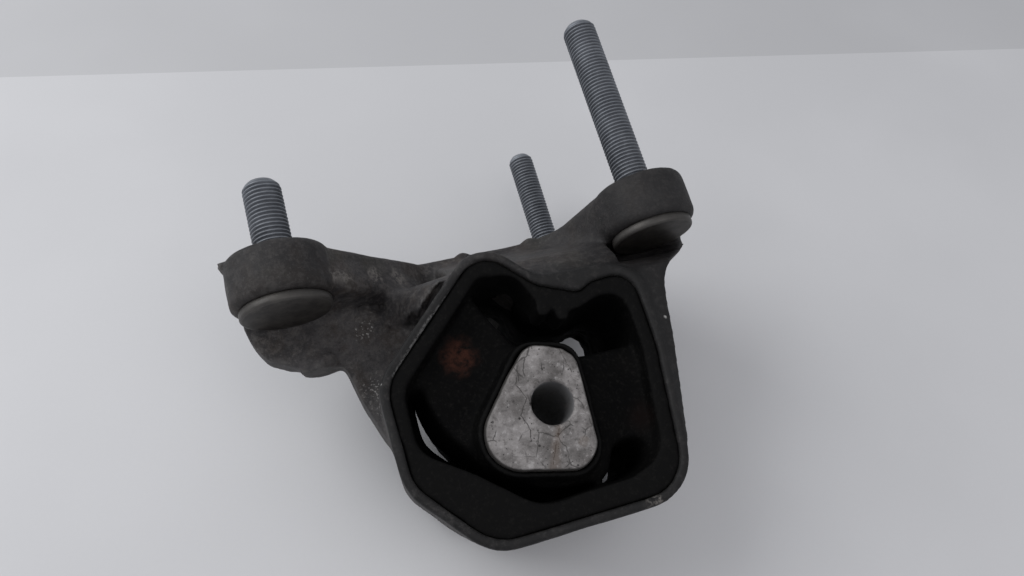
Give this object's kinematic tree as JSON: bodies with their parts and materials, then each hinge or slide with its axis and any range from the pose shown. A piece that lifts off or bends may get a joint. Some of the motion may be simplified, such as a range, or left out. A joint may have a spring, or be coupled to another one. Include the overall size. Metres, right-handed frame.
{
  "type": "engine mount",
  "caption": "Cast bracket with a bonded rubber bush round a bored core, and threaded studs that stand up from its mounting flange.",
  "frame": {"origin": "centre of the bush bore, at half its length", "axes": "+Z along the bush bore towards the front of the ring, +Y the way the studs leave the mounting face, +X from the left ear to the right ear"},
  "size_m": [0.152, 0.1645, 0.0837],
  "materials": {
    "cast_aluminium": "dark, dull as-cast surface with grime",
    "rubber": "matte black",
    "core_metal": "light grey cast metal with dark specks",
    "zinc": "zinc plated thread"
  },
  "bodies": {
    "root": {"bracket": "cast_aluminium", "rubber_bush": "rubber", "bush_core": "core_metal", "stud_left": "zinc", "stud_right": "zinc", "stud_rear": "zinc"}
  },
  "joints": []
}
